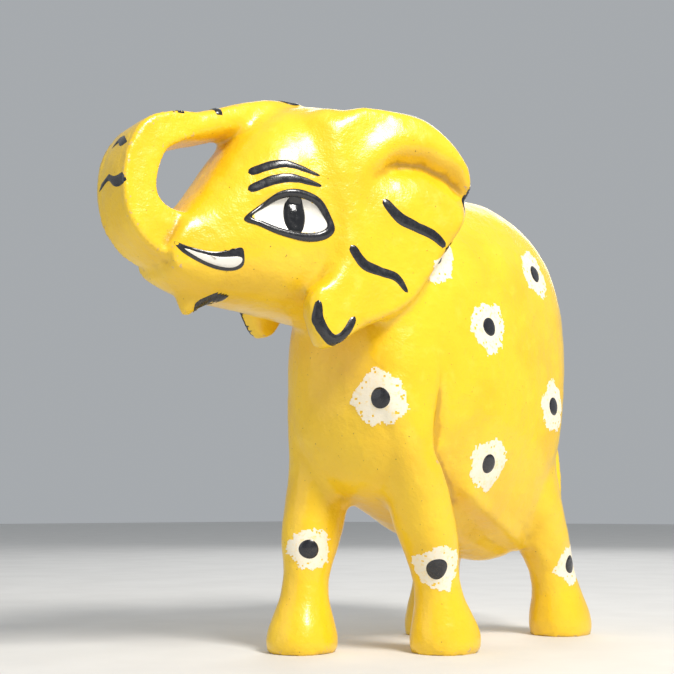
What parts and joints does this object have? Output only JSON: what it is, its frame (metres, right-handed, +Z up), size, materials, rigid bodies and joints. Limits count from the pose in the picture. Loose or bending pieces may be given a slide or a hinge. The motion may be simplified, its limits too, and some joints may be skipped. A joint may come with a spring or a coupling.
{
  "type": "elephant figurine",
  "caption": "Carved wooden elephant, walking, trunk curled up to its brow, painted yellow with white sponge dabs and black dots and brush lines.",
  "frame": {"origin": "middle of the bounding box of the whole figure, on the surface that it stands on", "axes": "+Z up; the elephant's body faces -Y; its left side is +X"},
  "size_m": [0.059, 0.1718, 0.1488],
  "materials": {
    "yellow_painted_wood": "hand-brushed yellow gloss paint over sanded wood",
    "sponged_white": "thin cream-white paint, sponged on",
    "white_enamel": "white enamel, glossy",
    "black_enamel": "black enamel, glossy, brushed by hand"
  },
  "bodies": {
    "root": {"brows_left": "black_enamel", "brows_right": "black_enamel", "carved_figure": "yellow_painted_wood", "dab_back_left": "sponged_white", "dab_back_right": "sponged_white", "dab_flank_lower_left": "sponged_white", "dab_flank_lower_right": "sponged_white", "dab_flank_upper_left": "sponged_white", "dab_flank_upper_right": "sponged_white", "dab_leg_front_left": "sponged_white", "dab_leg_front_right": "sponged_white", "dab_leg_rear_left": "sponged_white", "dab_leg_rear_right": "sponged_white", "dab_rump_side_left": "sponged_white", "dab_rump_side_right": "sponged_white", "dab_rump_upper_left": "sponged_white", "dab_rump_upper_right": "sponged_white", "dab_shoulder_left": "sponged_white", "dab_shoulder_right": "sponged_white", "dot_back_left": "black_enamel", "dot_back_right": "black_enamel", "dot_flank_lower_left": "black_enamel", "dot_flank_lower_right": "black_enamel", "dot_flank_upper_left": "black_enamel", "dot_flank_upper_right": "black_enamel", "dot_leg_front_left": "black_enamel", "dot_leg_front_right": "black_enamel", "dot_leg_rear_left": "black_enamel", "dot_leg_rear_right": "black_enamel", "dot_rump_side_left": "black_enamel", "dot_rump_side_right": "black_enamel", "dot_rump_upper_left": "black_enamel", "dot_rump_upper_right": "black_enamel", "dot_shoulder_left": "black_enamel", "dot_shoulder_right": "black_enamel", "ear_lobe_stroke_left": "black_enamel", "ear_lobe_stroke_right": "black_enamel", "ear_rim_line_left": "black_enamel", "ear_rim_line_right": "black_enamel", "ear_stroke_lower_left": "black_enamel", "ear_stroke_lower_right": "black_enamel", "ear_stroke_upper_left": "black_enamel", "ear_stroke_upper_right": "black_enamel", "eye_outline_left": "black_enamel", "eye_outline_right": "black_enamel", "eye_white_left": "white_enamel", "eye_white_right": "white_enamel", "jaw_stroke": "black_enamel", "nostril_ring": "black_enamel", "pupil_left": "black_enamel", "pupil_right": "black_enamel", "trunk_bands": "black_enamel", "tusk_outline_left": "black_enamel", "tusk_outline_right": "black_enamel", "tusk_white_left": "white_enamel", "tusk_white_right": "white_enamel"}
  },
  "joints": []
}
